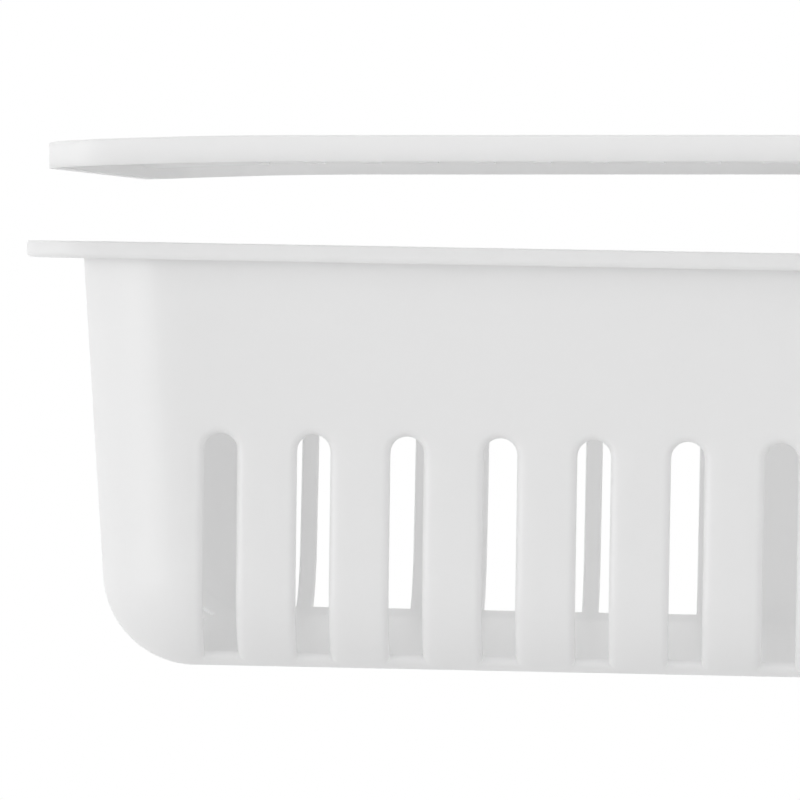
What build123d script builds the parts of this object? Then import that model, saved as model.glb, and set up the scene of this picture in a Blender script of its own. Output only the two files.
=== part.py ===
from build123d import *
import os
from math import atan, cos, degrees, radians, sin, tan

# Under-shelf fridge drawer: a clip-on hanger that grips a shelf from its front edge,
# and a slotted basket whose rim slides on the hanger's two rails.
# Millimetres. +X is the front, the way the drawer pulls out; +Z is up.
# The origin is on the underside of the upper jaw, halfway along it.

# Driving dimensions of the hanger
FRAME_LENGTH = 207.8
FRAME_WIDTH = 155.0
PLAN_RADIUS = 8.5
GRIP_GAP = 12.4
BAND_HEIGHT = 2.3
LEDGE_THICKNESS = 1.0
LIP_THICKNESS = 2.0
RIM_OVERHANG = 6.8
WALL_CLEARANCE = 0.6
BAND_FOOT = 0.6

# Driving dimensions of the upper jaw
JAW_SHORTER = 3.0
JAW_HEIGHT = 3.6
JAW_SHEET = 1.9
JAW_SKIRT = 2.0
JAW_SLOPE = 0.017
JAW_EDGE = 0.8
CURL_LENGTH = 34.0
CURL_RADIUS = 680.0

# The ladder of openings in the upper jaw, which the far side's grille repeats
LADDER_PITCH = 8.9
LADDER_FIRST = 7.05
LADDER_COUNT = 9
LADDER_OPENING = 6.3
LADDER_SPINE = 12.0
LADDER_MARGIN = 2.0

# Driving dimensions of the spine at the front of the grip
SPINE_BACK = 86.9
SPINE_THICKNESS = 2.6
SLIDE_CLEARANCE = 0.8

# Driving dimensions of the basket
BASKET_HEIGHT = 58.6
RIM_THICKNESS = 1.0
RIM_CLEARANCE = 0.4
RIM_LIFT = 0.3
RIM_RADIUS = 6.1
WALL = 1.6
FLOOR = 1.2
DRAFT = 4.0
TURN_RADIUS = 13.0
SEAM_INSET = 0.3

# Slots in the basket
SLOT_WIDTH = 4.6
FLARE = 0.9
FLARE_DEPTH = 1.8
FLARE_RUN_OUT = 7.5
SLOT_TOP_DEPTH = 26.0
SLOT_PITCH = 12.8
SIDE_SLOTS = 13
END_SLOTS = 5
END_PITCH = 16.0
GRILLE_EDGE = 0.8

# Finger opening in the front wall
PULL_WIDTH = 64.0
PULL_HEIGHT = 15.0
PULL_DEPTH = 5.0
PULL_EDGE = 0.7
PULL_EDGE_ANGLE = 45.0

# Derived places
FRONT = FRAME_LENGTH / 2
BACK = -FRONT
SIDE = FRAME_WIDTH / 2
FRAME_TOP = -GRIP_GAP
FRAME_BOTTOM = FRAME_TOP - BAND_HEIGHT
LEDGE_TOP = FRAME_BOTTOM + LEDGE_THICKNESS
RIM_BOTTOM = LEDGE_TOP + RIM_LIFT
RIM_TOP = RIM_BOTTOM + RIM_THICKNESS
BASKET_BOTTOM = RIM_TOP - BASKET_HEIGHT
HALF_LENGTH = FRONT - RIM_OVERHANG
HALF_WIDTH = SIDE - RIM_OVERHANG
RUNNER_SIDE = SIDE - LIP_THICKNESS - RIM_CLEARANCE
LEAN = tan(radians(DRAFT))
SLANT = 1 / cos(radians(DRAFT))
SLOT_TOP = RIM_TOP - SLOT_TOP_DEPTH
TURN_HEIGHT = BASKET_BOTTOM + TURN_RADIUS

# Reach of the cutters and of the helper blocks
BIG = 400.0
TALL = 100.0
PAST = 1.0
WELL_PAST = 5.0
PAST_FRONT = 40.0
NEARLY_LEVEL = 4.0
MOUTH_EDGES = 4


def rounded_block(length, width, radius, bottom, top):
    """A block with round upright corners, centred on the Z axis."""
    with BuildPart() as block:
        with BuildSketch(Plane.XY.offset(bottom)):
            RectangleRounded(length, width, radius)
        extrude(amount=top - bottom)
    return block.part


def slab(x_low, x_high, y_low, y_high, z_low, z_high):
    """A plain block between six planes."""
    size = (x_high - x_low, y_high - y_low, z_high - z_low)
    middle = ((x_low + x_high) / 2, (y_low + y_high) / 2, (z_low + z_high) / 2)
    return Pos(*middle) * Box(*size)


def jaw_side_profile(low, high, back, front):
    """The jaw seen from the side, between two heights, with its tip curling down."""
    curl_start = BACK + JAW_SHORTER + CURL_LENGTH
    run = curl_start - back
    drop = CURL_RADIUS - (CURL_RADIUS**2 - run**2) ** 0.5
    half_run = run / 2
    half_drop = CURL_RADIUS - (CURL_RADIUS**2 - half_run**2) ** 0.5
    with BuildSketch(Plane.XZ) as profile:
        with BuildLine():
            Line((front, high), (curl_start, high))
            ThreePointArc(
                (curl_start, high), (curl_start - half_run, high - half_drop), (back, high - drop)
            )
            Line((back, high - drop), (back, low - drop))
            ThreePointArc(
                (back, low - drop), (curl_start - half_run, low - half_drop), (curl_start, low)
            )
            Line((curl_start, low), (front, low))
            Line((front, low), (front, high))
        make_face()
    return profile.sketch


def jaw_layer(low, high, inset):
    """One layer of the jaw: its side profile within its rounded plan outline."""
    back = BACK + JAW_SHORTER + inset
    front = FRONT - inset
    profile = jaw_side_profile(low, high, back - WELL_PAST, front + WELL_PAST)
    layer = extrude(profile, SIDE, both=True)
    width = FRAME_WIDTH - 2 * inset
    plan = rounded_block(front - back, width, PLAN_RADIUS - inset, -TALL, TALL)
    return layer & (Pos((front + back) / 2, 0, 0) * plan)


def ladder_places():
    """X of each opening of the ladder, both ways from the middle bar."""
    steps = [LADDER_FIRST + LADDER_PITCH * i for i in range(LADDER_COUNT)]
    return sorted([-x for x in steps] + steps)


def top_border(block):
    """The edges round the jaw's top, taking its level face and its curled one together."""
    level = block.faces().filter_by(Axis.Z, tolerance=NEARLY_LEVEL).sort_by(Axis.Z)[-1]
    curls = block.faces().filter_by(GeomType.CYLINDER).sort_by(SortBy.AREA)[-2:]
    curled = curls.sort_by(Axis.Z)[-1]
    edges = [*level.edges(), *curled.edges()]
    return [e for e in edges if sum(e.center() == other.center() for other in edges) == 1]


def make_upper_jaw():
    """The plate on top of the shelf: a skirted sheet with a ladder of openings."""
    outer = jaw_layer(0, JAW_HEIGHT, 0)
    outer = chamfer(top_border(outer), JAW_EDGE)
    jaw = outer - jaw_layer(-JAW_HEIGHT, JAW_HEIGHT - JAW_SHEET, JAW_SKIRT)
    opening_length = SIDE - JAW_SKIRT - LADDER_MARGIN - LADDER_SPINE / 2
    opening_y = LADDER_SPINE / 2 + opening_length / 2
    opening = slab(
        -LADDER_OPENING / 2,
        LADDER_OPENING / 2,
        -opening_length / 2,
        opening_length / 2,
        -TALL,
        TALL,
    )
    cutters = [Pos(x, y, 0) * opening for x in ladder_places() for y in (-opening_y, opening_y)]
    jaw = jaw - cutters
    return Rot(0, -degrees(atan(JAW_SLOPE)), 0) * jaw


def lower_frame():
    """The whole band under the shelf: a ledge with an upturned lip, open at the front."""
    band = rounded_block(FRAME_LENGTH, FRAME_WIDTH, PLAN_RADIUS, FRAME_BOTTOM, FRAME_TOP)
    foot = band.faces().sort_by(Axis.Z)[0].edges()
    band = chamfer(foot, BAND_FOOT)
    length = FRAME_LENGTH + PAST_FRONT
    middle = Pos(PAST_FRONT / 2, 0, 0)
    pocket = middle * rounded_block(
        length - 2 * LIP_THICKNESS,
        FRAME_WIDTH - 2 * LIP_THICKNESS,
        PLAN_RADIUS - LIP_THICKNESS,
        LEDGE_TOP,
        FRAME_TOP + WELL_PAST,
    )
    ledge_width = RIM_OVERHANG - WALL_CLEARANCE
    window = middle * rounded_block(
        length - 2 * ledge_width,
        FRAME_WIDTH - 2 * ledge_width,
        TURN_RADIUS + WALL_CLEARANCE,
        FRAME_BOTTOM - WELL_PAST,
        FRAME_TOP + WELL_PAST,
    )
    return band - pocket - window


def make_back_bar(frame):
    """The closed back end of the band, with both its corners."""
    return frame & slab(-BIG, BACK + TURN_RADIUS + RIM_OVERHANG, -BIG, BIG, -BIG, BIG)


def make_rail(frame, side):
    """One rail of the band: side is -1 for the left rail and +1 for the right one."""
    start = BACK + TURN_RADIUS + RIM_OVERHANG
    low, high = sorted((0, side * BIG))
    return frame & slab(start, BIG, low, high, -BIG, BIG)


def make_front_spine(jaw):
    """The upright wall that the shelf's front edge butts against."""
    inner = SIDE - LIP_THICKNESS
    bottom = RIM_TOP + SLIDE_CLEARANCE
    wall = slab(SPINE_BACK, SPINE_BACK + SPINE_THICKNESS, -inner, inner, bottom, JAW_HEIGHT)
    return biggest(wall - jaw)


def make_cheek(side):
    """The side plate that carries a rail from the jaw's skirt, round past the drawer's rim."""
    front = FRONT - PLAN_RADIUS
    with BuildSketch(Plane.XZ) as profile:
        with BuildLine():
            Polyline(
                (SPINE_BACK, FRAME_TOP),
                (front, FRAME_TOP),
                (front, front * JAW_SLOPE),
                (SPINE_BACK, SPINE_BACK * JAW_SLOPE),
                close=True,
            )
        make_face()
    plate = extrude(profile.sketch, LIP_THICKNESS / 2, both=True)
    return Pos(0, side * (SIDE - LIP_THICKNESS / 2), 0) * plate


def biggest(shape):
    """The largest solid of a cut, without the offcut above the jaw."""
    return shape.solids().sort_by(SortBy.VOLUME)[-1]


def drafted_profile(plane, reach, floor, top):
    """A section of the tub before its edges are rounded, narrower at the floor than at the rim."""
    low = reach - (RIM_BOTTOM - floor) * LEAN
    high = reach + (top - RIM_BOTTOM) * LEAN
    with BuildSketch(plane) as section:
        with BuildLine():
            Polyline((-low, floor), (low, floor), (high, top), (-high, top), close=True)
        make_face()
    return section.sketch


def tub(inset, floor, top):
    """The basket's block: four drafted walls, with the corners and the turns into the floor rounded."""
    lengthwise = extrude(drafted_profile(Plane.XZ, HALF_LENGTH - inset, floor, top), SIDE, both=True)
    crosswise = extrude(drafted_profile(Plane.YZ, HALF_WIDTH - inset, floor, top), FRONT, both=True)
    block = lengthwise & crosswise
    below_the_mouth = block.edges().sort_by(Axis.Z)[:-MOUTH_EDGES]
    return fillet(below_the_mouth, TURN_RADIUS - inset)


def turn_centre(reach):
    """How far out the centre of the turn from a drafted wall into the floor lies."""
    return reach - (RIM_BOTTOM - TURN_HEIGHT) * LEAN - TURN_RADIUS * SLANT


def seam_place(reach):
    """Where the basket's sections meet, just inside the rounded corners."""
    return turn_centre(reach) - SEAM_INSET


def wall_point(reach, height):
    """The point at this height on the outside of the wall that faces -Y and leans in from -reach."""
    return Vector(0, -(reach - (RIM_BOTTOM - height) * LEAN), height)


def through_cut(reach, width, top_z):
    """A cutter through one wall and round through its turn, flat on the floor inside."""
    lean = radians(DRAFT)
    outward = Vector(0, -cos(lean), -sin(lean))
    floor = BASKET_BOTTOM + FLOOR
    inner = PAST - turn_centre(reach)
    inside = wall_point(reach, top_z) - outward * (WALL + PAST)
    outside = wall_point(reach, top_z) + outward * PAST
    with BuildSketch(Plane.YZ) as side_view:
        with BuildLine():
            Polyline(
                (outside.Y, outside.Z),
                (inside.Y, inside.Z),
                (inner, inside.Z),
                (inner, floor),
                (-reach - PAST, floor),
                close=True,
            )
        make_face()
    return extrude(side_view.sketch, width / 2, both=True)


def round_slot(reach, width):
    """The cutter of one slot with a round top, in the wall that faces -Y."""
    lean = radians(DRAFT)
    outward = Vector(0, -cos(lean), -sin(lean))
    cap_z = SLOT_TOP - width / 2
    inside = wall_point(reach, cap_z) - outward * (WALL + PAST)
    cap_plane = Plane(origin=inside, x_dir=(1, 0, 0), z_dir=outward)
    round_top = extrude(cap_plane * Circle(width / 2), WALL + 2 * PAST)
    return through_cut(reach, width, cap_z) + round_top


def slot_flare(reach, width):
    """The cutter of one slot's flared edge: round its top and down the wall until the turn ends it."""
    half = width / 2
    mouth = half + FLARE
    lean = radians(DRAFT)
    outward = Vector(0, -cos(lean), -sin(lean))
    down = Vector(0, sin(lean), -cos(lean))
    cap = wall_point(reach, SLOT_TOP - half)
    touch = Vector(0, -turn_centre(reach), TURN_HEIGHT) + outward * TURN_RADIUS
    with BuildSketch() as section:
        with BuildLine():
            Polyline(
                (0, PAST),
                (mouth, PAST),
                (mouth, 0),
                (half, -FLARE_DEPTH),
                (0, -FLARE_DEPTH),
                close=True,
            )
        make_face()
    across = Plane(origin=cap, x_dir=(1, 0, 0), z_dir=down)
    whole = section.sketch + mirror(section.sketch, Plane.YZ)
    top = revolve(across * section.sketch, Axis(cap, outward))
    run = extrude(across * whole, amount=(touch - cap).length + FLARE_RUN_OUT, dir=down)
    return top + run


def finger_cutter():
    """The cutter of the finger opening in the front wall, with its outer edge broken."""
    outward = Vector(cos(radians(DRAFT)), 0, -sin(radians(DRAFT)))
    middle_z = RIM_TOP - PULL_DEPTH - PULL_HEIGHT / 2
    middle = Vector(HALF_LENGTH - (RIM_BOTTOM - middle_z) * LEAN, 0, middle_z)
    plane = Plane(origin=middle - outward * PULL_EDGE, x_dir=(0, 1, 0), z_dir=outward)
    outline = plane * SlotOverall(PULL_WIDTH, PULL_HEIGHT)
    straight = extrude(outline, WALL + PAST, both=True)
    return straight + extrude(outline, PULL_EDGE + PAST, taper=-PULL_EDGE_ANGLE)


def row(count, pitch):
    """Places of a row of slots, centred on 0."""
    return [(i - (count - 1) / 2) * pitch for i in range(count)]


def make_basket():
    """The slotted tub, moulded in one: drafted walls, round edges, slots that turn into the floor."""
    basket = tub(0, BASKET_BOTTOM, RIM_BOTTOM) - tub(WALL, BASKET_BOTTOM + FLOOR, RIM_BOTTOM + PAST)
    side_slot = round_slot(HALF_WIDTH, SLOT_WIDTH) + slot_flare(HALF_WIDTH, SLOT_WIDTH)
    end_slot = round_slot(HALF_LENGTH, SLOT_WIDTH)
    cutters = [Pos(x, 0, 0) * side_slot for x in row(SIDE_SLOTS, SLOT_PITCH)]
    for turn in (-90, 90):
        cutters += [Rot(0, 0, turn) * Pos(y, 0, 0) * end_slot for y in row(END_SLOTS, END_PITCH)]
    seam = seam_place(HALF_LENGTH)
    cutters.append(finger_cutter())
    for x in ladder_places():
        low = max(x - LADDER_OPENING / 2, GRILLE_EDGE - seam)
        high = min(x + LADDER_OPENING / 2, seam - GRILLE_EDGE)
        opening = through_cut(HALF_WIDTH, high - low, SLOT_TOP)
        cutters.append(Rot(0, 0, 180) * Pos(-(low + high) / 2, 0, 0) * opening)
    return basket - cutters


def split_basket(basket):
    """The basket's sections: two side walls, the floor, and two end walls with the four corners."""
    seam_x = seam_place(HALF_LENGTH)
    seam_y = seam_place(HALF_WIDTH)
    left = slab(-seam_x, seam_x, -BIG, -seam_y, -BIG, BIG)
    right = slab(-seam_x, seam_x, seam_y, BIG, -BIG, BIG)
    middle = slab(-seam_x, seam_x, -seam_y, seam_y, -BIG, BIG)
    return {
        "left_wall": basket & left,
        "right_wall": basket & right,
        "floor_panel": basket & middle,
        "back_wall": basket & slab(-BIG, -seam_x, -BIG, BIG, -BIG, BIG),
        "front_wall": basket & slab(seam_x, BIG, -BIG, BIG, -BIG, BIG),
    }


def rim_ring():
    """The flat rim round the basket's mouth, flush with the band's lip."""
    back = BACK + LIP_THICKNESS + RIM_CLEARANCE
    outer = rounded_block(FRONT - back, 2 * RUNNER_SIDE, RIM_RADIUS, RIM_BOTTOM, RIM_TOP)
    window = rounded_block(
        2 * (HALF_LENGTH - WALL),
        2 * (HALF_WIDTH - WALL),
        TURN_RADIUS - WALL,
        RIM_BOTTOM - WELL_PAST,
        RIM_TOP + WELL_PAST,
    )
    return Pos((FRONT + back) / 2, 0, 0) * outer - window


def make_runner(rim, side):
    """The long edge of the rim that slides on one rail: side is -1 left and +1 right."""
    low, high = sorted((side * (HALF_WIDTH - WALL), side * BIG))
    return rim & slab(-BIG, BIG, low, high, -BIG, BIG)


def make_end_lip(rim, end):
    """The short edge of the rim between the runners: end is -1 at the back and +1 at the front."""
    inner = HALF_WIDTH - WALL
    low, high = sorted((0, end * BIG))
    return rim & slab(low, high, -inner, inner, -BIG, BIG)


def save(node, shape):
    export_step(shape, "parts/" + node + ".step")


def main():
    os.makedirs("parts", exist_ok=True)
    jaw = make_upper_jaw()
    save("upper_jaw", jaw)
    save("front_spine", make_front_spine(jaw))
    frame = lower_frame()
    save("back_bar", make_back_bar(frame))
    rim = rim_ring()
    for name, side in (("left", -1), ("right", 1)):
        save(name + "_cheek", make_cheek(side))
        save(name + "_rail", make_rail(frame, side))
        save(name + "_runner", make_runner(rim, side))
    for name, end in (("back", -1), ("front", 1)):
        save(name + "_lip", make_end_lip(rim, end))
    for name, section in split_basket(make_basket()).items():
        save(name, section)


main()
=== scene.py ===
from math import acos, cos, pi, radians, sin, tan

import bmesh
import bpy
from bpy.props import FloatProperty, FloatVectorProperty, IntProperty, PointerProperty
from bpy.types import Operator, Panel, PropertyGroup
from mathutils import Euler, Matrix, Vector


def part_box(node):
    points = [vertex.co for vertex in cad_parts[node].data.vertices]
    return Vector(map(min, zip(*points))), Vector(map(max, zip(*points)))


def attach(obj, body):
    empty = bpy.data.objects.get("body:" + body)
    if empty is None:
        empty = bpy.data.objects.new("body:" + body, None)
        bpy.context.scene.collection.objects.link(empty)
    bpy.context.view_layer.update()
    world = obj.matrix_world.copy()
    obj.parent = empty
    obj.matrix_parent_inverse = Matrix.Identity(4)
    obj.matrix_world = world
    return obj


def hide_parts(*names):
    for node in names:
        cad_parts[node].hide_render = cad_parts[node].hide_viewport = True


bl_info = {
    "name": "Under-shelf fridge drawer",
    "version": (1, 0, 0),
    "blender": (4, 5, 0),
    "location": "View3D > Sidebar > Drawer",
    "description": "Moulds the clip-on hanger and the slotted basket around the packed frame",
    "category": "Add Mesh",
}

MM = 0.001

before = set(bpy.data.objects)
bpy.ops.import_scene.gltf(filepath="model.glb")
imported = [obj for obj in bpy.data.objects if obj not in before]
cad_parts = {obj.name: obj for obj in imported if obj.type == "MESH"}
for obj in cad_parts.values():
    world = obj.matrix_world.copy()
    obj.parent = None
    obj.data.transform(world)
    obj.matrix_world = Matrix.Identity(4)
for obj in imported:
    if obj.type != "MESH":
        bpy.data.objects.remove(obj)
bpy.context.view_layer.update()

# Places read from the frame, in metres
RUNNER_LOW, RUNNER_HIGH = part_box("left_runner")
FLOOR_LOW, FLOOR_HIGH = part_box("floor_panel")
BASKET_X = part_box("front_wall")[1].x
BASKET_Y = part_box("right_wall")[1].y
BACK_BAR_LOW, BACK_BAR_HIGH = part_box("back_bar")
RAIL_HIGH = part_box("left_rail")[1]
SPINE_LOW, SPINE_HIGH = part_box("front_spine")

# Distances at which points count as one, and digits to which a point's place is compared
MERGE = 1e-6
WELD = 2e-5
PLACE_DIGITS = 7

# Fineness of the meshes
SLOT_POINTS = 24
PULL_POINTS = 48
TURN_STEPS = 14
FOOT_STEPS = 2
CORNER_STEPS = 8
LIP_STEPS = 4
INNER_LIP_STEPS = 2
EDGE_STEPS = 3
FOOT_ROUND_STEPS = 4
BAND_CORNER_STEPS = 10
JAW_CORNER_STEPS = 8
JAW_ROUND_STEPS = 5
SMALL_ROUND_STEPS = 2
PLATE_ROUND_STEPS = 3
SMOOTH_BELOW = radians(38)
SHARP_ABOVE = radians(60)

# Narrow strips beside the rounded edges, which keep the shading of the flat faces flat
LIP_SUPPORT = 0.25 * MM
RIM_SUPPORT = 0.3 * MM
TURN_SUPPORT = 1.0 * MM

# Radius of the lips on the basket's inside, the width in which an edge counts as the border's,
# and how far the band runs on before its front is cut off
INNER_LIP = 0.3 * MM
BORDER_MARGIN = 0.5 * MM
PAST_FRONT = 30 * MM

# Skin of the plastic
CLOUD_SCALE = (14, 14, 40)
CLOUD_DETAIL = 4.0
SPECK_SCALE = 38.0
SPECK_CORE = 0.012
SPECK_REACH = 0.028
SPECK_STRENGTH = 0.5
GRAIN_SCALE = 900.0
GRAIN_DETAIL = 2.0
GRAIN_STRENGTH = 0.15
GRAIN_DEPTH = 0.02 * MM
ROUGHNESS_SPREAD = 0.12
PLASTIC_IOR = 1.49
SCATTER_RADIUS = (1.0, 1.0, 1.0)
SCATTER_SCALE = 6.0 * MM

# Stage
LAMP_PLACE = (-1.0, -0.8, -0.3)
LAMP_AIM = (-0.06, 0, -0.04)
LAMP_SIZE = 0.8
LAMP_POWER = 5.5
FLOOR_REACH = 4.0
FLOOR_COLOUR = (0.85, 0.85, 0.85, 1.0)
FLOOR_ROUGHNESS = 0.9
WHITE = (1, 1, 1, 1)
SENSOR_WIDTH = 36.0
CLIP_START = 0.01


def length(name, description, default_mm):
    """A length property, given in millimetres and kept in metres."""
    return FloatProperty(
        name=name, description=description, default=default_mm * MM, unit="LENGTH", precision=5
    )


class BasketSizes(PropertyGroup):
    """Sizes of the slotted basket."""

    wall: length("Wall", "Thickness of the walls", 1.6)
    floor: length("Floor", "Thickness of the floor", 1.2)
    draft: FloatProperty(
        name="Draft", description="Lean of the walls", default=radians(4.0), subtype="ANGLE"
    )
    turn: length("Turn", "Radius of the corners and of the turn into the floor", 13.0)
    slot: length("Slot width", "Width of a slot in the near side and the ends", 4.6)
    slot_lip: length("Slot lip", "Radius of the lip round a near slot", 1.0)
    slot_top: length("Slot top", "Depth of a slot's top under the rim's top", 26.0)
    slot_pitch: length("Slot pitch", "From slot to slot in the near side", 12.8)
    end_pitch: length("End pitch", "From slot to slot in the ends", 16.0)
    side_slots: IntProperty(name="Side slots", description="Slots in the near side", default=13)
    end_slots: IntProperty(name="End slots", description="Slots in each end", default=5)
    grille_slot: length("Grille slot", "Width of a slot in the far side", 6.3)
    grille_lip: length("Grille lip", "Radius of the lip round a far slot", 0.6)
    grille_pitch: length("Grille pitch", "From slot to slot in the far side", 8.9)
    grille_first: length("Grille start", "From the middle to the first far slot", 7.05)
    grille_slots: IntProperty(name="Far slots", description="Far slots each way", default=9)
    grille_edge: length("Grille edge", "From the last far slot to the corner's turn", 1.1)
    rim_radius: length("Rim corner", "Corner radius of the rim", 6.1)
    rim_round: length("Rim round", "Rounding of the rim's edges", 0.35)
    pull_width: length("Opening width", "Width of the finger opening", 64.0)
    pull_height: length("Opening height", "Height of the finger opening", 15.0)
    pull_depth: length("Opening depth", "Finger opening's top under the rim's top", 5.0)
    pull_lip: length("Opening lip", "Radius of the finger opening's lip", 0.7)


class HangerSizes(PropertyGroup):
    """Sizes of the clip-on hanger."""

    corner: length("Corner", "Corner radius of the band and the jaw", 8.5)
    lip: length("Lip", "Thickness of the band's upturned lip", 2.0)
    ledge: length("Ledge", "Thickness of the band's ledge", 1.0)
    lip_round: length("Lip round", "Rounding of the lip's top edges", 0.35)
    foot_round: length("Foot round", "Rounding of the band's lower edge", 0.8)
    jaw_shorter: length("Jaw shorter", "How far the jaw ends before the band", 3.0)
    jaw_height: length("Jaw height", "Height of the jaw's skirt", 3.6)
    jaw_sheet: length("Jaw sheet", "Thickness of the jaw's sheet", 1.9)
    jaw_skirt: length("Jaw skirt", "Thickness of the jaw's skirt", 2.0)
    jaw_round: length("Jaw round", "Rounding of the jaw's upper edge", 1.0)
    jaw_slope: FloatProperty(
        name="Jaw slope", description="Rise of the jaw towards the front", default=0.017
    )
    curl_length: length("Curl length", "Length of the tip that curls down", 34.0)
    curl_radius: length("Curl radius", "Radius of the curl", 680.0)
    opening: length("Ladder opening", "Width of an opening in the jaw", 6.3)
    pitch: length("Ladder pitch", "From opening to opening", 8.9)
    first: length("Ladder start", "From the middle to the first opening", 7.05)
    count: IntProperty(name="Ladder count", description="Openings each way", default=9)
    spine: length("Ladder spine", "Width of the bar along the middle", 12.0)
    margin: length("Ladder margin", "From the skirt to the openings", 2.0)
    edge_round: length("Edge round", "Rounding of the small edges", 0.3)


class FinishSettings(PropertyGroup):
    """Colours and finish of the moulded polypropylene."""

    colour: FloatVectorProperty(
        name="Colour",
        description="White of the plastic",
        subtype="COLOR",
        size=3,
        min=0.0,
        max=1.0,
        default=(0.93, 0.93, 0.93),
    )
    speck_colour: FloatVectorProperty(
        name="Speck colour",
        description="Grey of the small specks in the plastic",
        subtype="COLOR",
        size=3,
        min=0.0,
        max=1.0,
        default=(0.42, 0.42, 0.42),
    )
    roughness: FloatProperty(
        name="Roughness", description="Roughness of the skin", default=0.42, subtype="FACTOR"
    )
    mottle: FloatProperty(
        name="Mottle", description="Unevenness of the colour", default=0.025, subtype="FACTOR"
    )


class Outline:
    """A rounded rectangle in plan: its middle in X, its half sizes and its corner radius."""

    def __init__(self, middle, half_x, half_y, radius):
        self.middle = middle
        self.half_x = half_x
        self.half_y = half_y
        self.radius = radius

    def inset(self, distance):
        """The outline moved in on all sides."""
        return Outline(
            self.middle, self.half_x - distance, self.half_y - distance, self.radius - distance
        )

    def place(self, share_x, share_y, direction):
        """The point of the outline that lies out along a direction from its corner's axis."""
        axis_x = self.middle + share_x * (self.half_x - self.radius)
        axis_y = share_y * (self.half_y - self.radius)
        return axis_x + direction.x * self.radius, axis_y + direction.y * self.radius

    def shares(self, point):
        """Where a point on the outline is, as the shares that place takes."""
        reach_x = self.half_x - self.radius
        reach_y = self.half_y - self.radius
        share_x = max(-1, min(1, (point.x - self.middle) / reach_x))
        share_y = max(-1, min(1, point.y / reach_y))
        out = Vector((point.x - self.middle - share_x * reach_x, point.y - share_y * reach_y))
        return share_x, share_y, out.normalized()


def move_to(verts, old, new, height):
    """Moves a ring of points from one outline to another, at a height."""
    for vert in verts:
        share_x, share_y, direction = old.shares(vert.co)
        x, y = new.place(share_x, share_y, direction)
        vert.co = (x, y, height)


def place_key(vert):
    """A point's rounded place, to find it again after its ring is extruded in place."""
    return tuple(round(c, PLACE_DIGITS) for c in vert.co)


def circle_ring(bm, radius, points):
    """The points and the edges of a circle."""
    made = bmesh.ops.create_circle(bm, cap_ends=False, radius=radius, segments=points)["verts"]
    return made, list(dict.fromkeys(edge for vert in made for edge in vert.link_edges))


def extrude_ring(bm, edges):
    """Extrudes a ring of edges in place, and gives the new edges and points."""
    made = bmesh.ops.extrude_edge_only(bm, edges=edges)["geom"]
    verts = [item for item in made if isinstance(item, bmesh.types.BMVert)]
    fresh = set(verts)
    ring = [
        item
        for item in made
        if isinstance(item, bmesh.types.BMEdge) and item.verts[0] in fresh and item.verts[1] in fresh
    ]
    return ring, verts


def ring_chain(bm, edges, start, steps):
    """Extrudes a ring through the outlines and heights of a section, and gives its last ring."""
    outline = start
    for new, height in steps:
        edges, verts = extrude_ring(bm, edges)
        move_to(verts, outline, new, height)
        outline = new
    return edges


def new_piece(bm, name, body, slot, *nodes):
    """Makes an object of a mesh that rides on a body and stands for CAD nodes."""
    bmesh.ops.recalc_face_normals(bm, faces=bm.faces)
    for face in bm.faces:
        face.smooth = True
    for edge in bm.edges:
        edge.smooth = len(edge.link_faces) == 2 and edge.calc_face_angle(0) < SMOOTH_BELOW
    mesh = bpy.data.meshes.new(name)
    bm.to_mesh(mesh)
    bm.free()
    piece = bpy.data.objects.new(name, mesh)
    bpy.context.scene.collection.objects.link(piece)
    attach(piece, body)
    if nodes:
        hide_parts(*nodes)
    mesh.materials.append(polypropylene(slot))


class WallSheet:
    """One wall of the basket with its two half corners, laid out flat.

    A point's X is its distance along the wall, Y its distance down the outer face from the rim,
    round the turn into the floor, and Z its depth under that face.
    """

    def __init__(self, sizes, reach, across):
        self.sizes = sizes
        self.along = turn_centre(sizes, reach)
        self.across = turn_centre(sizes, across)
        self.end = self.along + sizes.turn * pi / 4
        self.turn_height = FLOOR_LOW.z + sizes.turn
        touch = self.turn_height - sizes.turn * sin(sizes.draft)
        self.straight = (RUNNER_LOW.z - touch) / cos(sizes.draft)
        self.bottom = self.straight + sizes.turn * (pi / 2 - sizes.draft)
        self.square = Vector((0, -cos(sizes.draft), -sin(sizes.draft)))
        self.diagonal = (self.square + Vector((cos(sizes.draft), 0, -sin(sizes.draft)))).normalized()
        self.turn_step = (self.bottom - self.straight) / TURN_STEPS
        self.foot = self.bottom - FOOT_STEPS * self.turn_step

    def slot_end(self):
        """How far down the outer face a slot ends: where the face meets the floor's top."""
        turned = acos((self.sizes.turn + FLOOR_LOW.z - FLOOR_HIGH.z) / self.sizes.turn)
        return self.bottom - self.sizes.turn * turned

    def down(self, depth):
        """How far down the outer face a depth under the rim's top is."""
        return (depth - (RUNNER_HIGH.z - RUNNER_LOW.z)) / cos(self.sizes.draft)

    def cap_centre(self, half):
        """How far down the outer face the centre of a slot's round top is."""
        return self.down(self.sizes.slot_top) + half

    def fold(self, point):
        """The place in space of a point of the flat sheet, for the wall that faces -Y."""
        sizes = self.sizes
        past = max(0.0, (abs(point.x) - self.along) / (self.end - self.along))
        facing = self.square.slerp(self.diagonal, past)
        turned = max(0.0, (point.y - self.straight) / (self.bottom - self.straight))
        rise = max(0.0, 1 - point.y / self.straight)
        climb = rise * (RUNNER_LOW.z - self.turn_height - facing.z * sizes.turn)
        if turned > 0:
            facing = facing.slerp(Vector((0, 0, -1)), min(turned, 1.0))
        thin = 1 + turned * (sizes.floor / sizes.wall - 1)
        out = facing * (sizes.turn - point.z * thin)
        lean = climb * tan(sizes.draft)
        x = point.x
        if abs(x) > self.along - MERGE:
            x = (self.along + lean + out.x) * (1 if x > 0 else -1)
        return Vector((x, out.y - self.across - lean, self.turn_height + climb + out.z))


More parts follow.
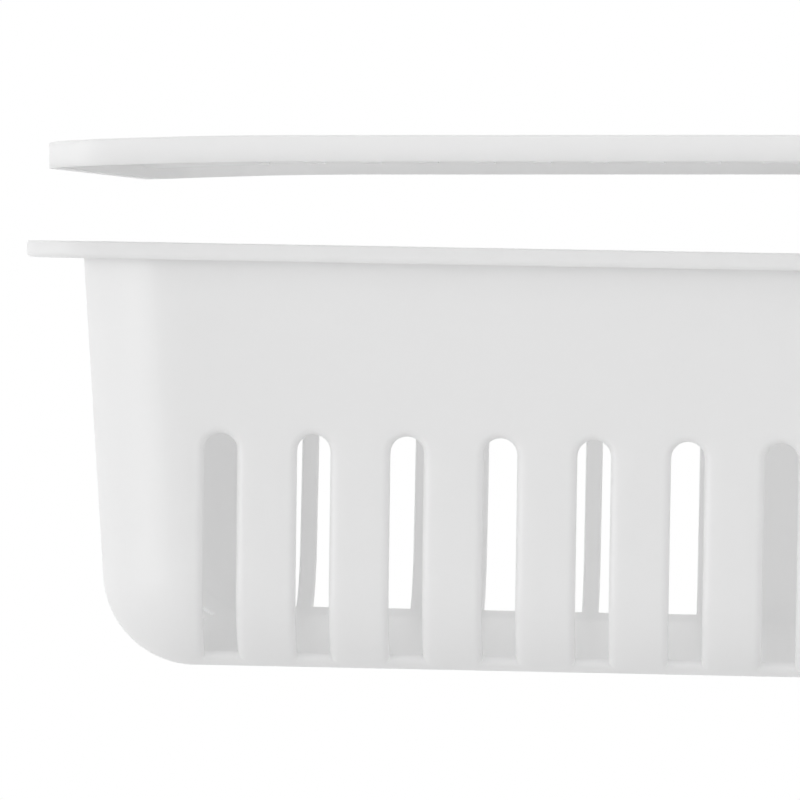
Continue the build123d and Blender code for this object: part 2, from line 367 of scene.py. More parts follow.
def turn_centre(sizes, reach):
    """How far out the centre of the turn from a wall into the floor lies."""
    height = RUNNER_LOW.z - FLOOR_LOW.z - sizes.turn
    return reach - height * tan(sizes.draft) - sizes.turn / cos(sizes.draft)


def slot_ring_point(i, slot, centre, end, spread):
    """Point i of a slot's outline in the flat sheet: a round top and a square end."""
    middle, half = slot
    angle = 2 * pi * i / SLOT_POINTS
    wide = half + spread
    if i <= SLOT_POINTS / 2:
        return middle + wide * cos(angle), centre - wide * sin(angle)
    return middle + wide * cos(angle) / cos(2 * pi / SLOT_POINTS), end + spread


def cell_ring_point(i, cell, centre, end):
    """Point i of the rectangle round a slot, out along the same ray."""
    middle, half = cell
    angle = 2 * pi * i / SLOT_POINTS
    if i > SLOT_POINTS / 2:
        return middle + half * cos(angle) / cos(2 * pi / SLOT_POINTS), end
    if abs(cos(angle)) < sin(angle):
        return middle + half * cos(angle) / sin(angle), centre - half
    side = 1 if cos(angle) > 0 else -1
    return middle + side * half, centre - half * sin(angle) / abs(cos(angle))


def quarter(steps):
    """Angles of a quarter round."""
    return [i * pi / 2 / steps for i in range(steps + 1)]


def lip_rings(lip, wall):
    """Spread and depth of each ring of a rounded lip, from the outer face to the inner one."""
    rings = [(lip + LIP_SUPPORT, 0.0)]
    for angle in quarter(LIP_STEPS):
        rings.append((lip * (1 - sin(angle)), lip * (1 - cos(angle))))
    for angle in quarter(INNER_LIP_STEPS):
        rings.append((INNER_LIP * (1 - cos(angle)), wall - INNER_LIP * (1 - sin(angle))))
    rings.append((INNER_LIP + LIP_SUPPORT, wall))
    return rings


def slot_outlines(sheet, slot, rectangle, lip):
    """The outline and depth of each ring of a slot, from its cell outside to its cell inside."""
    centre = sheet.cap_centre(slot[1])
    end = sheet.slot_end()
    outlines = [(rectangle, 0.0)]
    for spread, depth in lip_rings(lip, sheet.sizes.wall):
        outline = [slot_ring_point(i, slot, centre, end, spread) for i in range(SLOT_POINTS)]
        outlines.append((outline, depth))
    outlines.append((rectangle, sheet.sizes.wall))
    return outlines


def add_slot_cell(bm, sheet, slot, cell, cell_centre, lip, rise):
    """One slot of the flat sheet, with the cell of wall round it, up to a rise and down to the floor.

    The slot and its cell are given by their middles and their half widths. Without a rise the
    cell's top stays where it is.
    """
    made, ring = circle_ring(bm, 1.0, SLOT_POINTS)
    points = sorted(made, key=lambda vert: vert.co.xy.angle_signed(Vector((1, 0))) % (2 * pi))
    rectangle = [cell_ring_point(i, cell, cell_centre, sheet.foot) for i in range(SLOT_POINTS)]
    high = min(y for x, y in rectangle)
    for step, (outline, depth) in enumerate(slot_outlines(sheet, slot, rectangle, lip)):
        if step:
            ring, verts = extrude_ring(bm, ring)
            by_place = {place_key(vert): vert for vert in verts}
            points = [by_place[place_key(vert)] for vert in points]
        for vert, (x, y) in zip(points, outline):
            vert.co = (x, y, depth)
        if outline is rectangle:
            if rise is not None:
                stretch_side(bm, ring, high, rise)
            stretch_side(bm, ring, sheet.foot, sheet.bottom)


def stretch_side(bm, ring, level, new_level):
    """Extrudes the side of a cell that lies at a level to a new one."""
    side = [edge for edge in ring if all(abs(vert.co.y - level) < MERGE for vert in edge.verts)]
    for vert in extrude_ring(bm, side)[1]:
        vert.co.y = new_level


def add_strip(bm, sheet, start, end, top):
    """A plain strip of the flat sheet, on both faces, from a top down to the floor."""
    for depth in (0.0, sheet.sizes.wall):
        verts = bmesh.ops.create_grid(bm, x_segments=1, y_segments=1, size=0.5)["verts"]
        bmesh.ops.scale(bm, verts=verts, vec=(end - start, sheet.bottom - top, 1))
        middle = ((start + end) / 2, (top + sheet.bottom) / 2, depth)
        bmesh.ops.translate(bm, verts=verts, vec=middle)


def bisect_all(bm, place, normal):
    """Cuts the whole mesh along a plane."""
    geom = [*bm.verts, *bm.edges, *bm.faces]
    bmesh.ops.bisect_plane(bm, geom=geom, plane_co=place, plane_no=normal, dist=MERGE)


def joint_levels(sheet):
    """Distances down the wall at which the slot cells of any wall have points on their sides."""
    sizes = sheet.sizes
    levels = {sheet.foot}
    for half, pitch in ((sizes.slot / 2, sizes.slot_pitch), (sizes.grille_slot / 2, sizes.grille_pitch)):
        for i in range(SLOT_POINTS // 8 + 1):
            levels.add(sheet.cap_centre(half) - pitch / 2 * tan(2 * pi * i / SLOT_POINTS))
    return sorted(levels)


def add_pull_lip(bm, sheet):
    """The finger opening's lip, and the ring it leaves in each face of the wall, by depth."""
    sizes = sheet.sizes
    half_height = sizes.pull_height / 2
    half_straight = sizes.pull_width / 2 - half_height
    middle_down = sheet.down(sizes.pull_depth + half_height)
    made, ring = circle_ring(bm, half_height, PULL_POINTS)
    axes = {}
    for vert in made:
        side = 0
        if abs(vert.co.x) > MERGE:
            side = 1 if vert.co.x > 0 else -1
        axes[vert] = (side * half_straight, vert.co.xy.normalized())
    rings = lip_rings(sizes.pull_lip, sizes.wall)
    left = {}
    for step, (spread, depth) in enumerate(rings):
        if step:
            before = {place_key(vert): axes[vert] for vert in axes}
            ring, verts = extrude_ring(bm, ring)
            axes = {vert: before[place_key(vert)] for vert in verts}
        reach = half_height + spread
        for vert, (axis, direction) in axes.items():
            vert.co = (axis + direction.x * reach, middle_down + direction.y * reach, depth)
        if step in (0, len(rings) - 1):
            left[depth] = ring
    return left


def fill_round_pull(bm, sheet, reach, rise):
    """The plain part of the front wall above its slots, with the finger opening and its lip in it."""
    for depth, hole in add_pull_lip(bm, sheet).items():

        def above_slots(point):
            level = abs(point.z - depth) < MERGE
            return level and abs(point.x) < reach + MERGE and point.y < rise + MERGE

        border = [edge for edge in boundary(bm, above_slots) if edge not in hole]
        ends = []
        for vert in bm.verts:
            at_side = abs(abs(vert.co.x) - reach) < MERGE
            if at_side and above_slots(vert.co) and abs(vert.co.y) < MERGE:
                ends.append(vert)
        border.append(bm.edges.new(ends))
        bmesh.ops.triangle_fill(bm, use_beauty=True, use_dissolve=False, edges=border + hole)


def cut_for_folding(bm, sheet):
    """Cuts the flat sheet where it bends: in the turn into the floor and in the corners."""
    bisect_all(bm, (0, sheet.straight - TURN_SUPPORT, 0), (0, 1, 0))
    for i in range(TURN_STEPS):
        bisect_all(bm, (0, sheet.straight + sheet.turn_step * i, 0), (0, 1, 0))
    for i in range(CORNER_STEPS):
        level = sheet.along + (sheet.end - sheet.along) * i / CORNER_STEPS
        for side in (-1, 1):
            bisect_all(bm, (side * level, 0, 0), (1, 0, 0))


def wall_mesh(sheet, slots, cells, pitch, lip, pull):
    """A wall of the basket as a folded sheet with its slots, still facing -Y.

    Each slot is given by its middle and half width, and each cell of wall round it by its middle.
    """
    bm = bmesh.new()
    centre = sheet.cap_centre(max(half for middle, half in slots))
    top = centre - pitch / 2 if pull else 0.0
    for slot, middle in zip(slots, cells):
        add_slot_cell(bm, sheet, slot, (middle, pitch / 2), centre, lip, None if pull else 0.0)
    reach = cells[-1] + pitch / 2
    add_strip(bm, sheet, -sheet.end, -reach, 0.0)
    add_strip(bm, sheet, reach, sheet.end, 0.0)
    for left, right in zip(cells, cells[1:]):
        if right - left > pitch + MERGE:
            add_strip(bm, sheet, left + pitch / 2, right - pitch / 2, top)
    for level in joint_levels(sheet):
        bisect_all(bm, (0, level, 0), (0, 1, 0))
    bmesh.ops.remove_doubles(bm, verts=bm.verts, dist=MERGE)
    if pull:
        fill_round_pull(bm, sheet, reach, top)
        bmesh.ops.remove_doubles(bm, verts=bm.verts, dist=MERGE)
    cut_for_folding(bm, sheet)
    for vert in bm.verts:
        vert.co = sheet.fold(vert.co)
    return bm


def join(target, source, turn):
    """Adds a wall to the basket, turned about the upright axis."""
    bmesh.ops.rotate(source, verts=source.verts, cent=(0, 0, 0), matrix=Matrix.Rotation(turn, 3, "Z"))
    mesh = bpy.data.meshes.new("wall")
    source.to_mesh(mesh)
    source.free()
    target.from_mesh(mesh)
    bpy.data.meshes.remove(mesh)


def boundary(bm, test):
    """The open edges whose points all pass a test."""
    return [edge for edge in bm.edges if edge.is_boundary and all(test(v.co) for v in edge.verts)]


def row(count, pitch):
    """Middles of a row of slots, centred on 0."""
    return [(i - (count - 1) / 2) * pitch for i in range(count)]


def grille_slots(sizes, limit):
    """The far slots, the last of them cut short before the corners' turns, and their cells' middles."""
    steps = [sizes.grille_first + sizes.grille_pitch * i for i in range(sizes.grille_slots)]
    cells = [-x for x in reversed(steps)] + steps
    slots = []
    for x in cells:
        low = max(x - sizes.grille_slot / 2, -limit)
        high = min(x + sizes.grille_slot / 2, limit)
        slots.append(((low + high) / 2, (high - low) / 2))
    return slots, cells


def make_basket_mesh(sizes):
    """The whole basket: four slotted walls, the floor and the rim, in one closed mesh."""
    half = sizes.slot / 2
    side = row(sizes.side_slots, sizes.slot_pitch)
    end = row(sizes.end_slots, sizes.end_pitch)
    side_slots = [(middle, half) for middle in side]
    end_slots = [(middle, half) for middle in end]
    lengthwise = WallSheet(sizes, BASKET_X, BASKET_Y)
    crosswise = WallSheet(sizes, BASKET_Y, BASKET_X)
    far_slots, far_cells = grille_slots(sizes, lengthwise.along - sizes.grille_edge)
    bm = bmesh.new()
    pitch = sizes.slot_pitch
    lip = sizes.slot_lip
    far_pitch = sizes.grille_pitch
    join(bm, wall_mesh(lengthwise, side_slots, side, pitch, lip, False), 0)
    join(bm, wall_mesh(lengthwise, far_slots, far_cells, far_pitch, sizes.grille_lip, False), pi)
    join(bm, wall_mesh(crosswise, end_slots, end, pitch, lip, False), -pi / 2)
    join(bm, wall_mesh(crosswise, end_slots, end, pitch, lip, True), pi / 2)
    bmesh.ops.remove_doubles(bm, verts=bm.verts, dist=WELD)
    for height in (FLOOR_LOW.z, FLOOR_HIGH.z):
        loop = boundary(bm, lambda p: abs(p.z - height) < WELD)
        bmesh.ops.edgeloop_fill(bm, edges=loop)
    add_rim(bm, sizes)
    return bm


def round_edge(outline, height, radius, side, angles):
    """Outlines and heights round an edge, at angles that go from its upright face to its level one.

    The side is 1 for an upper edge and -1 for a lower one. The radius is below 0 where the solid
    lies outside the outline.
    """
    steps = []
    for angle in angles:
        drop = abs(radius) * (1 - sin(angle))
        steps.append((outline.inset(radius * (1 - cos(angle))), height - side * drop))
    return steps


def add_rim(bm, sizes):
    """The rim round the basket's mouth, from its inner edge over the top to its underside."""
    high = RUNNER_HIGH.z
    low = RUNNER_LOW.z
    mouth = Outline(0.0, BASKET_X, BASKET_Y, sizes.turn * cos(sizes.draft))
    bore = mouth.inset(sizes.wall * cos(sizes.draft))
    middle = (RUNNER_LOW.x + RUNNER_HIGH.x) / 2
    edge = Outline(middle, (RUNNER_HIGH.x - RUNNER_LOW.x) / 2, -RUNNER_LOW.y, sizes.rim_radius)
    inner = []
    outer = []
    for item in boundary(bm, lambda p: p.z > low - BORDER_MARGIN):
        (outer if outside(item, mouth, sizes.wall / 2) else inner).append(item)
    radius = sizes.rim_round
    flat = radius + RIM_SUPPORT
    angles = quarter(EDGE_STEPS)
    steps = round_edge(bore, high, -radius, 1, angles)
    steps.append((bore.inset(-flat), high))
    steps.append((edge.inset(flat), high))
    steps += round_edge(edge, high, radius, 1, angles[::-1])
    steps += round_edge(edge, low, radius, -1, angles)
    steps.append((edge.inset(flat), low))
    last = ring_chain(bm, inner, bore, steps)
    bmesh.ops.bridge_loops(bm, edges=last + outer)


def band_section(sizes, edge, window):
    """Outlines and heights round the band's section, from its outer face over the lip to the ledge."""
    high = BACK_BAR_HIGH.z
    low = BACK_BAR_LOW.z
    ledge = low + sizes.ledge
    small = sizes.lip_round
    foot = sizes.foot_round
    inner = edge.inset(sizes.lip)
    wide = window.inset(-small)
    angles = quarter(EDGE_STEPS)
    steps = [(edge, low + foot)]
    steps += round_edge(edge, high, small, 1, angles)
    steps += round_edge(inner, high, -small, 1, angles[::-1])
    steps.append((inner, ledge + small))
    steps.append((inner.inset(small), ledge))
    steps.append((wide, ledge))
    steps.append((window, ledge - small))
    steps.append((window, low + small))
    steps.append((wide, low))
    steps += round_edge(edge, low, foot, -1, quarter(FOOT_ROUND_STEPS)[::-1])
    return steps


def rounded_outline(bm, outline, height, segments):
    """A face in the shape of an outline, made from a square by rounding its corners."""
    made = bmesh.ops.create_grid(bm, x_segments=1, y_segments=1, size=1.0)["verts"]
    for vert in made:
        vert.co = (outline.middle + vert.co.x * outline.half_x, vert.co.y * outline.half_y, height)
    bmesh.ops.bevel(
        bm,
        geom=made,
        offset=outline.radius,
        offset_type="OFFSET",
        segments=segments,
        profile=0.5,
        affect="VERTICES",
        material=-1,
    )
    return bm.faces[:]


def make_band_mesh(sizes):
    """The band under the shelf, with its corners, its lip and its ledge, cut off at the front."""
    front = RAIL_HIGH.x
    middle = PAST_FRONT / 2
    half_x = (front - BACK_BAR_LOW.x) / 2 + PAST_FRONT / 2
    edge = Outline(middle, half_x, -BACK_BAR_LOW.y, sizes.corner)
    overhang = RAIL_HIGH.y - BACK_BAR_LOW.y
    radius = BACK_BAR_HIGH.x - BACK_BAR_LOW.x - overhang
    window = Outline(middle, half_x - overhang, -RAIL_HIGH.y, radius)
    bm = bmesh.new()
    faces = rounded_outline(bm, edge, BACK_BAR_LOW.z, BAND_CORNER_STEPS)
    bmesh.ops.delete(bm, geom=faces, context="FACES_ONLY")
    section = band_section(sizes, edge, window)
    first, height = section[0]
    move_to(bm.verts, edge, first, height)
    ring_chain(bm, bm.edges[:], first, section[1:])
    bmesh.ops.remove_doubles(bm, verts=bm.verts, dist=MERGE)
    geom = [*bm.verts, *bm.edges, *bm.faces]
    bmesh.ops.bisect_plane(
        bm, geom=geom, plane_co=(front, 0, 0), plane_no=(1, 0, 0), clear_outer=True, dist=MERGE
    )
    bmesh.ops.holes_fill(bm, edges=boundary(bm, lambda p: True), sides=0)
    return bm


class DRAWER_OT_basket(Operator):
    """Mould the slotted basket with its rim and finger opening"""

    bl_idname = "fridge_drawer.basket"
    bl_label = "Slotted basket"

    def execute(self, context):
        bm = make_basket_mesh(context.scene.drawer_basket)
        new_piece(
            bm,
            "slotted_basket",
            "drawer",
            "drawer_plastic",
            "left_wall",
            "right_wall",
            "back_wall",
            "front_wall",
            "floor_panel",
            "left_runner",
            "right_runner",
            "front_lip",
            "back_lip",
        )
        return {"FINISHED"}


class DRAWER_OT_band(Operator):
    """Mould the band under the shelf that carries the basket's rim"""

    bl_idname = "fridge_drawer.band"
    bl_label = "Lower band"

    def execute(self, context):
        bm = make_band_mesh(context.scene.drawer_hanger)
        new_piece(bm, "lower_band", "hanger", "hanger_plastic", "left_rail", "right_rail", "back_bar")
        return {"FINISHED"}


def ladder_places(sizes):
    """X of each opening of the ladder, both ways from the middle bar."""
    steps = [sizes.first + sizes.pitch * i for i in range(sizes.count)]
    return [-x for x in steps] + steps


def cut_ladder(bm, sizes):
    """Cuts the ladder's openings in the jaw's flat face, on both sides of the middle bar."""
    inner_y = sizes.spine / 2
    outer_y = BACK_BAR_HIGH.y - sizes.jaw_skirt - sizes.margin
    half = sizes.opening / 2
    places = ladder_places(sizes)
    for side in (-1, 1):
        for x in places:
            bisect_all(bm, (x + side * half, 0, 0), (1, 0, 0))
        for y in (inner_y, outer_y):
            bisect_all(bm, (0, side * y, 0), (0, 1, 0))
    gone = []
    for face in bm.faces:
        centre = face.calc_center_median()
        in_row = inner_y < abs(centre.y) < outer_y
        if in_row and any(abs(centre.x - x) < half for x in places):
            gone.append(face)
    bmesh.ops.delete(bm, geom=gone, context="FACES")


def add_skirt(bm, sizes, border):
    """Thickens the jaw's sheet, and its rim down to the shelf."""
    thicken(bm, bm.faces[:], sizes.jaw_sheet)
    under = sizes.jaw_height - sizes.jaw_sheet
    skirt = []
    for face in bm.faces:
        level = all(abs(vert.co.z - under) < MERGE for vert in face.verts)
        if level and outside(face, border, sizes.jaw_skirt):
            skirt.append(face)
    thicken(bm, skirt, under)
    bmesh.ops.recalc_face_normals(bm, faces=bm.faces)


def sharp_edges(bm):
    """The edges that turn by more than the sharp angle."""
    return [edge for edge in bm.edges if edge.calc_face_angle(0) > SHARP_ABOVE]


def make_jaw_mesh(sizes):
    """The jaw's sheet, skirt and ladder of openings, level and straight."""
    back = BACK_BAR_LOW.x + sizes.jaw_shorter
    front = -BACK_BAR_LOW.x
    border = Outline((front + back) / 2, (front - back) / 2, BACK_BAR_HIGH.y, sizes.corner)
    bm = bmesh.new()
    face = rounded_outline(bm, border, sizes.jaw_height, JAW_CORNER_STEPS)
    bmesh.ops.inset_region(
        bm, faces=face, thickness=sizes.jaw_skirt, use_boundary=True, use_even_offset=True
    )
    cut_ladder(bm, sizes)
    add_skirt(bm, sizes, border)
    top_edges = []
    for edge in sharp_edges(bm):
        on_top = all(vert.co.z > sizes.jaw_height - MERGE for vert in edge.verts)
        if on_top and outside(edge, border, BORDER_MARGIN):
            top_edges.append(edge)
    bevel_edges(bm, top_edges, sizes.jaw_round, JAW_ROUND_STEPS)
    bevel_edges(bm, sharp_edges(bm), sizes.edge_round, SMALL_ROUND_STEPS)
    bmesh.ops.remove_doubles(bm, verts=bm.verts, dist=MERGE)
    return bm


def shape_jaw(bm, sizes):
    """Curls the jaw's tip down, and tilts the jaw up towards the front."""
    curl_start = BACK_BAR_LOW.x + sizes.jaw_shorter + sizes.curl_length
    for vert in bm.verts:
        run = curl_start - vert.co.x
        if run > 0:
            vert.co.z -= sizes.curl_radius - (sizes.curl_radius**2 - run**2) ** 0.5
    tilt = Matrix.Rotation(-sizes.jaw_slope, 3, "Y")
    bmesh.ops.rotate(bm, verts=bm.verts, cent=(0, 0, 0), matrix=tilt)


def thicken(bm, faces, depth):
    """Extrudes a region of level faces downwards."""
    edges = dict.fromkeys(edge for face in faces for edge in face.edges)
    verts = dict.fromkeys(vert for face in faces for vert in face.verts)
    made = bmesh.ops.extrude_face_region(bm, geom=[*faces, *edges, *verts])["geom"]
    low = [item for item in made if isinstance(item, bmesh.types.BMVert)]
    bmesh.ops.translate(bm, verts=low, vec=(0, 0, -depth))


def outside(item, outline, margin):
    """Whether an edge or face reaches the border of an outline, within a margin."""
    point = sum((vert.co for vert in item.verts), Vector()) / len(item.verts)
    x = max(0.0, abs(point.x - outline.middle) - outline.half_x + outline.radius)
    y = max(0.0, abs(point.y) - outline.half_y + outline.radius)
    return Vector((x, y)).length > outline.radius - margin


def bevel_edges(bm, edges, radius, segments):
    """Rounds edges by a radius."""
    bmesh.ops.bevel(
        bm,
        geom=edges,
        offset=radius,
        offset_type="OFFSET",
        segments=segments,
        profile=0.5,
        affect="EDGES",
        clamp_overlap=True,
        material=-1,
    )


class DRAWER_OT_jaw(Operator):
    """Mould the upper jaw that rests on top of the shelf"""

    bl_idname = "fridge_drawer.jaw"
    bl_label = "Upper jaw"

    def execute(self, context):
        sizes = context.scene.drawer_hanger
        bm = make_jaw_mesh(sizes)
        shape_jaw(bm, sizes)
        new_piece(bm, "ladder_jaw", "hanger", "hanger_plastic", "upper_jaw")
        return {"FINISHED"}


def plate(low, high, radius):
    """A plate between two corners with rounded edges."""
    bm = bmesh.new()
    made = bmesh.ops.create_cube(bm, size=1.0)["verts"]
    bmesh.ops.scale(bm, verts=made, vec=high - low)
    bmesh.ops.translate(bm, verts=made, vec=(low + high) / 2)
    bevel_edges(bm, bm.edges[:], radius, PLATE_ROUND_STEPS)
    return bm


class DRAWER_OT_spine(Operator):
    """Mould the spine behind the shelf's front edge and the two cheeks beside it"""

    bl_idname = "fridge_drawer.spine"
    bl_label = "Spine and cheeks"

    def execute(self, context):
        radius = context.scene.drawer_hanger.edge_round
        spine = plate(SPINE_LOW, SPINE_HIGH, radius)
        new_piece(spine, "spine_wall", "hanger", "hanger_plastic", "front_spine")
        for node in ("left_cheek", "right_cheek"):
            low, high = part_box(node)
            new_piece(plate(low, high, radius), node + "_plate", "hanger", "hanger_plastic", node)
        return {"FINISHED"}


def math_node(nodes, operation, *values):
    """A math node with its operation and its values, None where an input is linked."""
    node = nodes.new("ShaderNodeMath")
    node.operation = operation
    for socket, value in zip(node.inputs, values):
        if value is not None:
            socket.default_value = value
    return node


def noise_node(nodes, scale, detail):
    """A noise texture with its scale and its detail."""
    noise = nodes.new("ShaderNodeTexNoise")
    noise.inputs["Scale"].default_value = scale
    noise.inputs["Detail"].default_value = detail
    return noise


def cloudiness(nodes, link, place):
    """A slow unevenness about 0, drawn out in the direction of the walls."""
    flow = nodes.new("ShaderNodeMapping")
    flow.inputs["Scale"].default_value = CLOUD_SCALE
    link(place, flow.inputs["Vector"])
    clouds = noise_node(nodes, 1.0, CLOUD_DETAIL)
    link(flow.outputs["Vector"], clouds.inputs["Vector"])
    centred = math_node(nodes, "SUBTRACT", None, 0.5)
    link(clouds.outputs["Fac"], centred.inputs[0])
    return centred.outputs["Value"]


def speckle(nodes, link, place):
    """A mask of small specks, far apart."""
    cells = nodes.new("ShaderNodeTexVoronoi")
    cells.inputs["Scale"].default_value = SPECK_SCALE
    link(place, cells.inputs["Vector"])
    near = nodes.new("ShaderNodeMapRange")
    near.inputs["From Min"].default_value = SPECK_CORE
    near.inputs["From Max"].default_value = SPECK_REACH
    near.inputs["To Min"].default_value = SPECK_STRENGTH
    near.inputs["To Max"].default_value = 0.0
    link(cells.outputs["Distance"], near.inputs["Value"])
    return near.outputs["Result"]


def add_sockets(group):
    """The skin's settings, and its colour, roughness and height."""
    face = group.interface
    face.new_socket("Colour", in_out="INPUT", socket_type="NodeSocketColor")
    face.new_socket("Speck Colour", in_out="INPUT", socket_type="NodeSocketColor")
    face.new_socket("Mottle", in_out="INPUT", socket_type="NodeSocketFloat")
    face.new_socket("Roughness", in_out="INPUT", socket_type="NodeSocketFloat")
    face.new_socket("Colour", in_out="OUTPUT", socket_type="NodeSocketColor")
    face.new_socket("Roughness", in_out="OUTPUT", socket_type="NodeSocketFloat")
    face.new_socket("Height", in_out="OUTPUT", socket_type="NodeSocketFloat")


def skin_group():
    """Node group: the skin of moulded polypropylene, with cloudy colour, specks and a fine grain."""
    name = "moulded_skin"
    if name in bpy.data.node_groups:
        return bpy.data.node_groups[name]
    group = bpy.data.node_groups.new(name, "ShaderNodeTree")
    add_sockets(group)
    nodes = group.nodes
    link = group.links.new
    entry = nodes.new("NodeGroupInput")
    leave = nodes.new("NodeGroupOutput")
    place = nodes.new("ShaderNodeTexCoord").outputs["Object"]
    clouds = cloudiness(nodes, link, place)

    scaled = math_node(nodes, "MULTIPLY_ADD", None, None, 1.0)
    link(clouds, scaled.inputs[0])
    link(entry.outputs["Mottle"], scaled.inputs[1])
    tinted = nodes.new("ShaderNodeVectorMath")
    tinted.operation = "SCALE"
    link(entry.outputs["Colour"], tinted.inputs[0])
    link(scaled.outputs["Value"], tinted.inputs["Scale"])
    specked = nodes.new("ShaderNodeMix")
    specked.data_type = "RGBA"
    link(speckle(nodes, link, place), specked.inputs["Factor"])
    link(tinted.outputs["Vector"], specked.inputs["A"])
    link(entry.outputs["Speck Colour"], specked.inputs["B"])

    grain = noise_node(nodes, GRAIN_SCALE, GRAIN_DETAIL)
    link(place, grain.inputs["Vector"])
    rough = math_node(nodes, "MULTIPLY_ADD", None, ROUGHNESS_SPREAD)
    link(clouds, rough.inputs[0])
    link(entry.outputs["Roughness"], rough.inputs[2])

    link(specked.outputs["Result"], leave.inputs["Colour"])
    link(rough.outputs["Value"], leave.inputs["Roughness"])
    link(grain.outputs["Fac"], leave.inputs["Height"])
    return group


def polypropylene(slot):
    """White moulded polypropylene: satin, a little translucent, with the moulded skin."""
    name = "moulded_" + slot
    if name in bpy.data.materials:
        return bpy.data.materials[name]
    finish = bpy.context.scene.drawer_finish
    material = bpy.data.materials.new(name)
    material.use_nodes = True
    nodes = material.node_tree.nodes
    link = material.node_tree.links.new
    shader = nodes["Principled BSDF"]
    skin = nodes.new("ShaderNodeGroup")
    skin.node_tree = skin_group()
    skin.inputs["Colour"].default_value = (*finish.colour, 1.0)
    skin.inputs["Speck Colour"].default_value = (*finish.speck_colour, 1.0)
    skin.inputs["Mottle"].default_value = finish.mottle
    skin.inputs["Roughness"].default_value = finish.roughness
    bump = nodes.new("ShaderNodeBump")
    bump.inputs["Strength"].default_value = GRAIN_STRENGTH
    bump.inputs["Distance"].default_value = GRAIN_DEPTH
    link(skin.outputs["Height"], bump.inputs["Height"])
    link(bump.outputs["Normal"], shader.inputs["Normal"])
    link(skin.outputs["Colour"], shader.inputs["Base Color"])
    link(skin.outputs["Roughness"], shader.inputs["Roughness"])
    shader.inputs["IOR"].default_value = PLASTIC_IOR
    shader.inputs["Subsurface Weight"].default_value = 1.0
    shader.inputs["Subsurface Radius"].default_value = SCATTER_RADIUS
    shader.inputs["Subsurface Scale"].default_value = SCATTER_SCALE
    return material


def seen_directly(nodes, link):
    """A value of 1 for the camera and for what it sees mirrored or through something clear."""
    path = nodes.new("ShaderNodeLightPath")
    mirrored = math_node(nodes, "MAXIMUM")
    link(path.outputs["Is Camera Ray"], mirrored.inputs[0])
    link(path.outputs["Is Glossy Ray"], mirrored.inputs[1])
    through = math_node(nodes, "MAXIMUM")
    link(mirrored.outputs["Value"], through.inputs[0])
    link(path.outputs["Is Transmission Ray"], through.inputs[1])
    return through.outputs["Value"]


def glowing_white(name):
    """A matt floor that the camera sees as plain white."""
    material = bpy.data.materials.new(name)
    material.use_nodes = True
    nodes = material.node_tree.nodes
    link = material.node_tree.links.new
    shader = nodes["Principled BSDF"]
    shader.inputs["Base Color"].default_value = FLOOR_COLOUR
    shader.inputs["Roughness"].default_value = FLOOR_ROUGHNESS
    glow = nodes.new("ShaderNodeEmission")
    glow.inputs["Strength"].default_value = 1.0
    mix = nodes.new("ShaderNodeMixShader")
    link(seen_directly(nodes, link), mix.inputs["Fac"])
    link(shader.outputs["BSDF"], mix.inputs[1])
    link(glow.outputs["Emission"], mix.inputs[2])
    link(mix.outputs["Shader"], nodes["Material Output"].inputs["Surface"])
    return material


def set_world(level, fall):
    """A white world for the camera, and a soft light on the object that falls off towards the zenith."""
    world = bpy.data.worlds.new("studio")
    bpy.context.scene.world = world
    world.use_nodes = True
    nodes = world.node_tree.nodes
    link = world.node_tree.links.new
    light = nodes["Background"]
    light.inputs["Color"].default_value = WHITE
    place = nodes.new("ShaderNodeTexCoord")
    split = nodes.new("ShaderNodeSeparateXYZ")
    link(place.outputs["Generated"], split.inputs["Vector"])
    above = math_node(nodes, "MAXIMUM", None, 0.0)
    link(split.outputs["Z"], above.inputs[0])
    fading = math_node(nodes, "MULTIPLY_ADD", None, -fall, level)
    link(above.outputs["Value"], fading.inputs[0])
    link(fading.outputs["Value"], light.inputs["Strength"])
    seen = nodes.new("ShaderNodeBackground")
    seen.inputs["Color"].default_value = WHITE
    seen.inputs["Strength"].default_value = 1.0
    mix = nodes.new("ShaderNodeMixShader")
    link(seen_directly(nodes, link), mix.inputs["Fac"])
    link(light.outputs["Background"], mix.inputs[1])
    link(seen.outputs["Background"], mix.inputs[2])
    link(mix.outputs["Shader"], nodes["World Output"].inputs["Surface"])


def area_lamp(name, place, aim, size, power):
    """A soft square lamp at a place, turned to an aim."""
    data = bpy.data.lights.new(name, "AREA")
    data.size = size
    data.energy = power
    lamp = bpy.data.objects.new(name, data)
    lamp.location = place
    lamp.rotation_euler = (Vector(aim) - Vector(place)).to_track_quat("-Z", "Y").to_euler()
    bpy.context.scene.collection.objects.link(lamp)


class StageSettings(PropertyGroup):
    """The camera, the light and the floor."""

    camera_x: length("Camera X", "Camera's place along the drawer", 0.0)
    camera_y: length("Camera Y", "Camera's place in front of the near side", -997.5)
    camera_z: length("Camera Z", "Camera's height", -12.2)
    yaw: FloatProperty(
        name="Yaw", description="Turn to the left", default=radians(3.22), subtype="ANGLE"
    )
    pitch: FloatProperty(
        name="Pitch", description="Tilt down", default=radians(1.302), subtype="ANGLE"
    )
    roll: FloatProperty(
        name="Roll", description="Roll of the camera", default=0.0175, subtype="ANGLE"
    )
    lens: FloatProperty(name="Lens", description="Focal length in mm", default=306.4)
    ambient: FloatProperty(
        name="Ambient", description="Strength of the light from the sides and from below", default=0.95
    )
    ambient_fall: FloatProperty(
        name="Ambient fall", description="How much weaker the light from the zenith is", default=0.30
    )
    floor_drop: length("Floor drop", "How far the floor lies under the drawer", 300.0)


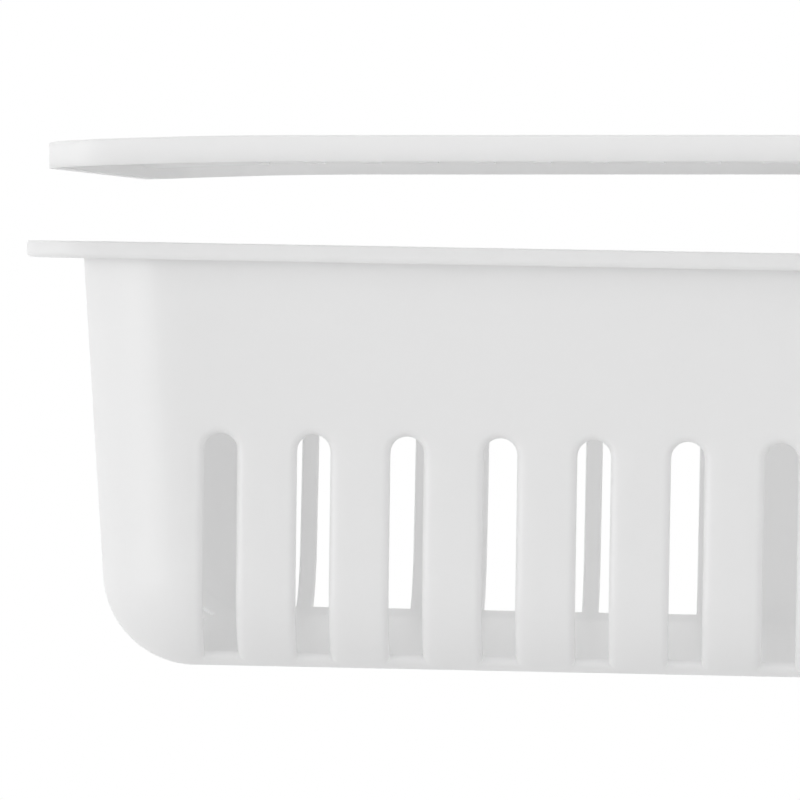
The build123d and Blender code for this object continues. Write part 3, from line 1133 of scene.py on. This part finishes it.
def add_floor(drop):
    """The floor under the drawer, which the camera sees as white."""
    bm = bmesh.new()
    made = bmesh.ops.create_grid(bm, x_segments=1, y_segments=1, size=FLOOR_REACH)["verts"]
    bmesh.ops.translate(bm, verts=made, vec=(0, 0, FLOOR_LOW.z - drop))
    mesh = bpy.data.meshes.new("studio_floor")
    bm.to_mesh(mesh)
    bm.free()
    floor = bpy.data.objects.new("studio_floor", mesh)
    bpy.context.scene.collection.objects.link(floor)
    mesh.materials.append(glowing_white("studio_floor"))


def add_camera(stage):
    """The camera in front of the near side."""
    data = bpy.data.cameras.new("camera")
    data.lens = stage.lens
    data.sensor_width = SENSOR_WIDTH
    data.clip_start = CLIP_START
    camera = bpy.data.objects.new("camera", data)
    camera.location = (stage.camera_x, stage.camera_y, stage.camera_z)
    turn = Euler((pi / 2 - stage.pitch, 0, stage.yaw), "XYZ").to_matrix()
    camera.rotation_euler = (turn @ Matrix.Rotation(stage.roll, 3, "Z")).to_euler()
    bpy.context.scene.collection.objects.link(camera)
    bpy.context.scene.camera = camera


class DRAWER_OT_stage(Operator):
    """Set the floor, the world, the lamp and the camera"""

    bl_idname = "fridge_drawer.stage"
    bl_label = "Stage"

    def execute(self, context):
        stage = context.scene.drawer_stage
        context.scene.view_settings.view_transform = "Standard"
        add_floor(stage.floor_drop)
        set_world(stage.ambient, stage.ambient_fall)
        area_lamp("side_lamp", LAMP_PLACE, LAMP_AIM, LAMP_SIZE, LAMP_POWER)
        add_camera(stage)
        return {"FINISHED"}


class DRAWER_PT_pieces(Panel):
    """Buttons for the drawer's pieces"""

    bl_idname = "DRAWER_PT_pieces"
    bl_label = "Under-shelf drawer"
    bl_space_type = "VIEW_3D"
    bl_region_type = "UI"
    bl_category = "Drawer"

    def draw(self, context):
        for operator in OPERATORS:
            self.layout.operator(operator.bl_idname)


SETTINGS = {
    "drawer_basket": BasketSizes,
    "drawer_hanger": HangerSizes,
    "drawer_finish": FinishSettings,
    "drawer_stage": StageSettings,
}
OPERATORS = (DRAWER_OT_basket, DRAWER_OT_band, DRAWER_OT_jaw, DRAWER_OT_spine, DRAWER_OT_stage)


def register():
    for name, group in SETTINGS.items():
        bpy.utils.register_class(group)
        setattr(bpy.types.Scene, name, PointerProperty(type=group))
    for operator in OPERATORS:
        bpy.utils.register_class(operator)
    bpy.utils.register_class(DRAWER_PT_pieces)


def unregister():
    bpy.utils.unregister_class(DRAWER_PT_pieces)
    for operator in reversed(OPERATORS):
        bpy.utils.unregister_class(operator)
    for name, group in SETTINGS.items():
        delattr(bpy.types.Scene, name)
        bpy.utils.unregister_class(group)


def main():
    register()
    bpy.ops.fridge_drawer.basket()
    bpy.ops.fridge_drawer.band()
    bpy.ops.fridge_drawer.jaw()
    bpy.ops.fridge_drawer.spine()
    bpy.ops.fridge_drawer.stage()


if __name__ == "__main__":
    main()
